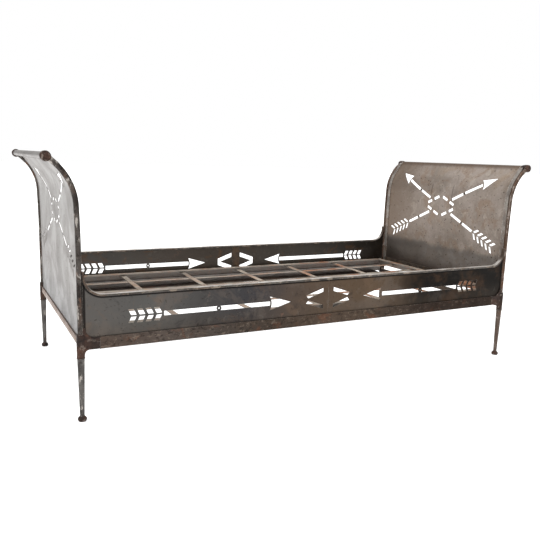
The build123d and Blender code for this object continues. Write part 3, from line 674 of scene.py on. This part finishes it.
def deck_rivets():
    """A rivet at every crossing of the straps."""
    strap_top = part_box("cross_strap_1")[1][2]
    long_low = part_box("long_strap_1")[0][2]
    builder = bmesh.new()
    for cross in cross_straps:
        for strap in long_straps:
            x, y = middle(cross)[0], middle(strap)[1]
            dip = deck_dip(x, y)
            deck_rivet(builder, x, y, long_low + dip, strap_top + dip)
    new_piece("hammered_deck_rivets", builder, strap_steel, "mattress_deck", ("deck_rivets",))


deck_rivets()


# Shares of a piece's radius and of its length.
KNOB_PROFILE = ((0.0, 0.0), (0.72, 0.0), (0.86, 0.03), (0.93, 0.09), (0.90, 0.16), (0.84, 0.20),
                (0.92, 0.26), (0.985, 0.34), (1.0, 0.50), (1.0, 0.76), (0.985, 0.88), (0.94, 0.955),
                (0.86, 0.99), (0.78, 1.0), (0.66, 0.975), (0.3, 0.96), (0.0, 0.955))
FOOT_PROFILE = ((0.0, 0.0), (0.66, 0.0), (0.82, 0.06), (0.95, 0.22), (1.0, 0.42), (0.97, 0.6),
                (0.86, 0.76), (0.68, 0.87), (0.60, 0.91), (0.63, 0.95), (0.60, 1.0), (0.0, 1.0))


def knob(corner):
    """Turned end knob: rounded rims, a shallow groove near the bar and a slightly dished face."""
    low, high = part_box(f"cap_knob_{corner}")
    radius = (high[0] - low[0]) / 2
    length = high[1] - low[1]
    outward = 1 if corner.startswith("rear") else -1
    start = low[1] if outward > 0 else high[1]
    scaled = [(r * radius, outward * t * length) for r, t in KNOB_PROFILE]
    builder = bmesh.new()
    centre = (middle(f"cap_knob_{corner}")[0], start, middle(f"cap_knob_{corner}")[2])
    turned(builder, scaled, centre, "Y", segments=48, ruggedness=0.012)
    new_piece(f"turned_knob_{corner}", builder, cast_iron, "bed_frame", (f"cap_knob_{corner}",))


def button_foot(corner):
    """Button foot with a flat sole and a small collar under the leg."""
    low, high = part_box(f"foot_{corner}")
    radius = (high[0] - low[0]) / 2
    height = high[2] - low[2]
    scaled = [(r * radius, t * height) for r, t in FOOT_PROFILE]
    builder = bmesh.new()
    turned(builder, scaled, (*middle(f"foot_{corner}")[:2], low[2]), "Z", segments=40, ruggedness=0.02)
    new_piece(f"button_foot_{corner}", builder, cast_iron, "bed_frame", (f"foot_{corner}",))


def weld_run(builder, points, radius):
    """Overlapping lumps of weld metal along a line of points."""
    for point in points:
        jitter = Vector([random.uniform(-0.25, 0.25) * radius for _ in range(3)])
        spot = Matrix.Translation(Vector(point) + jitter)
        size = radius * random.uniform(0.8, 1.1)
        bmesh.ops.create_icosphere(builder, subdivisions=2, radius=size, matrix=spot)


def ring_points(x, y, z, radius, count):
    angles = [2 * pi * i / count for i in range(count)]
    return [(x + radius * cos(angle), y + radius * sin(angle), z) for angle in angles]


CASTING_BOSS_HEIGHT = 0.081    # from the leg's shoulder to the top of the boss round the post
RING_LUMPS = 34
SEAM_LUMPS = 21
LUMP_R = 0.0016
POST_LUMP_R = 0.0019
POST_WELD_OUT = 0.0010    # from the post's radius to the middle of the lumps
LEG_WELD_OUT = 0.0038


def corner_welds(corner):
    """Weld metal where the post and the leg enter a casting and where the casting meets the side's bar."""
    post_low, post_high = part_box(f"post_{corner}")
    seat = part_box(f"corner_casting_{corner}")[0][2]
    x, y = middle(f"leg_{corner}")[:2]
    post_radius = (post_high[1] - post_low[1]) / 2
    builder = bmesh.new()
    boss_top = seat + CASTING_BOSS_HEIGHT
    weld_run(builder, ring_points(x, y, boss_top, post_radius + POST_WELD_OUT, RING_LUMPS), POST_LUMP_R)
    weld_run(builder, ring_points(x, y, seat, post_radius + LEG_WELD_OUT, RING_LUMPS), LUMP_R)
    side, end = corner.split("_")
    bar_low, bar_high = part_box(f"bottom_bar_{side}")
    seam_x = bar_high[0] if end == "right" else bar_low[0]
    face_y = bar_high[1] if side == "rear" else bar_low[1]
    step = (bar_high[2] - bar_low[2]) / (SEAM_LUMPS - 1)
    weld_run(builder, [(seam_x, face_y, bar_low[2] + step * i) for i in range(SEAM_LUMPS)], LUMP_R)
    new_piece(f"welds_{corner}", builder, cast_iron, "bed_frame", ())


for corner in CORNERS:
    knob(corner)
    button_foot(corner)
    corner_welds(corner)


MERGE_DISTANCE = 1e-5
ARRIS_WIDTH = 0.0009
ARRIS_ANGLE = radians(40)    # edges where the surface turns by more than this are rounded


def welded(piece):
    """Close the mesh's split edges, so that the modifiers after this one see one surface."""
    piece.modifiers.new("close", "WELD").merge_threshold = MERGE_DISTANCE


def soften(names):
    """Worn, rounded arrises on a bar."""
    for name in names:
        piece = nodes[name]
        welded(piece)
        bevel = piece.modifiers.new("arrises", "BEVEL")
        bevel.width = ARRIS_WIDTH
        bevel.segments = 2
        bevel.limit_method = "ANGLE"
        bevel.angle_limit = ARRIS_ANGLE


CAST_VOXEL = 0.0013
CAST_LUMP_DEPTH = 0.0016
CAST_LUMP_SIZE = 0.011


def lumpy(names):
    """Rough cast surface, cut inwards only."""
    texture = bpy.data.textures.new("cast_lumps", "CLOUDS")
    texture.noise_scale = CAST_LUMP_SIZE
    for name in names:
        piece = nodes[name]
        welded(piece)
        remesh = piece.modifiers.new("skin", "REMESH")
        remesh.mode = "VOXEL"
        remesh.voxel_size = CAST_VOXEL
        remesh.use_smooth_shade = True
        lumps = piece.modifiers.new("lumps", "DISPLACE")
        lumps.texture = texture
        lumps.texture_coords = "LOCAL"
        lumps.mid_level = 1.0
        lumps.strength = CAST_LUMP_DEPTH
        smooth = piece.modifiers.new("ease", "SMOOTH")
        smooth.iterations = 3


for part in ("bottom_bar", "deck_ledge", "seam_batten", "deck_side"):
    soften([f"{part}_{side}" for side in SIDES])
for part in ("end_stiffener", "deck_end"):
    soften([f"{part}_{end}" for end in ENDS])
lumpy([f"corner_casting_{corner}" for corner in CORNERS])


# ---------------------------------------------------------------- studio
FLOOR_GLOW = 0.28    # lifts the floor to white
FLOOR_SIZE = 40.0


def studio_floor():
    """A plain pale floor under the feet."""
    mesh = bpy.data.meshes.new("studio_floor")
    builder = bmesh.new()
    bmesh.ops.create_grid(builder, x_segments=1, y_segments=1, size=FLOOR_SIZE)
    builder.to_mesh(mesh)
    builder.free()
    floor = bpy.data.objects.new("studio_floor", mesh)
    bpy.context.scene.collection.objects.link(floor)
    r = Recipe("studio_floor")
    tone = r.mix(r.noise(0.4, 2.0), srgb(250, 250, 250), srgb(253, 253, 253))
    paint(r.finish(tone, 0.9, r.bump(r.noise(200.0), 0.02, 0.001), 0.0, FLOOR_GLOW), floor)
    floor.location.z = cad_bounds[0][2]


def soft_sun(name, azimuth, elevation, spread, strength):
    """A large even lamp far away; azimuth 0 is the front and turns towards the left end."""
    light = bpy.data.lights.new(name, "SUN")
    light.angle = radians(spread)
    light.energy = strength
    lamp = bpy.data.objects.new(name, light)
    a, e = radians(azimuth), radians(elevation)
    towards = Vector((sin(a) * cos(e), cos(a) * cos(e), -sin(e)))
    lamp.rotation_euler = towards.to_track_quat("-Z", "Y").to_euler()
    bpy.context.scene.collection.objects.link(lamp)


# Brightness of the room by height: from just under the horizon to nearly overhead.
ROOM_LIGHT = {"From Min": -0.05, "From Max": 0.8, "To Min": 0.34, "To Max": 0.95}


def surroundings():
    """White to the camera; the object is lit by a room that is brighter overhead."""
    world = bpy.data.worlds.new("studio")
    bpy.context.scene.world = world
    world.use_nodes = True
    tree = world.node_tree
    tree.nodes.clear()
    seen = tree.nodes.new("ShaderNodeBackground")
    seen.inputs["Strength"].default_value = 1.0
    lit = tree.nodes.new("ShaderNodeBackground")
    for node in (seen, lit):
        node.inputs["Color"].default_value = (1, 1, 1, 1)
    height = tree.nodes.new("ShaderNodeSeparateXYZ")
    tree.links.new(tree.nodes.new("ShaderNodeTexCoord").outputs["Generated"], height.inputs[0])
    ramp = tree.nodes.new("ShaderNodeMapRange")
    for key, value in ROOM_LIGHT.items():
        ramp.inputs[key].default_value = value
    tree.links.new(height.outputs["Z"], ramp.inputs["Value"])
    tree.links.new(ramp.outputs[0], lit.inputs["Strength"])
    path = tree.nodes.new("ShaderNodeLightPath")
    mixer = tree.nodes.new("ShaderNodeMixShader")
    output = tree.nodes.new("ShaderNodeOutputWorld")
    tree.links.new(path.outputs["Is Camera Ray"], mixer.inputs[0])
    tree.links.new(lit.outputs[0], mixer.inputs[1])
    tree.links.new(seen.outputs[0], mixer.inputs[2])
    tree.links.new(mixer.outputs[0], output.inputs[0])


CAMERA_PLACE = (-1.325, -2.489, 0.902)
CAMERA_PAN = radians(27.5)
CAMERA_TILT = radians(10.4)
CAMERA_ROLL = radians(1.8)
CAMERA_LENS = 41.4


def photo_camera():
    """Camera at the photograph's place and angle."""
    level = cos(CAMERA_TILT)
    forward = Vector((sin(CAMERA_PAN) * level, cos(CAMERA_PAN) * level, -sin(CAMERA_TILT)))
    right = Vector((cos(CAMERA_PAN), -sin(CAMERA_PAN), 0))
    up = right.cross(forward)
    x_axis = cos(CAMERA_ROLL) * right + sin(CAMERA_ROLL) * up
    y_axis = -sin(CAMERA_ROLL) * right + cos(CAMERA_ROLL) * up
    turn = Matrix((x_axis, y_axis, -forward)).transposed().to_4x4()
    data = bpy.data.cameras.new("photo_camera")
    data.lens = CAMERA_LENS
    data.sensor_width = 36.0
    camera = bpy.data.objects.new("photo_camera", data)
    camera.matrix_world = Matrix.Translation(CAMERA_PLACE) @ turn
    bpy.context.scene.collection.objects.link(camera)
    bpy.context.scene.camera = camera


studio_floor()
surroundings()
soft_sun("key", 62, 42, 60, 1.5)
soft_sun("fill", -35, 45, 90, 0.5)
soft_sun("overhead", 0, 88, 90, 0.9)
photo_camera()
bpy.context.scene.view_settings.view_transform = "Standard"
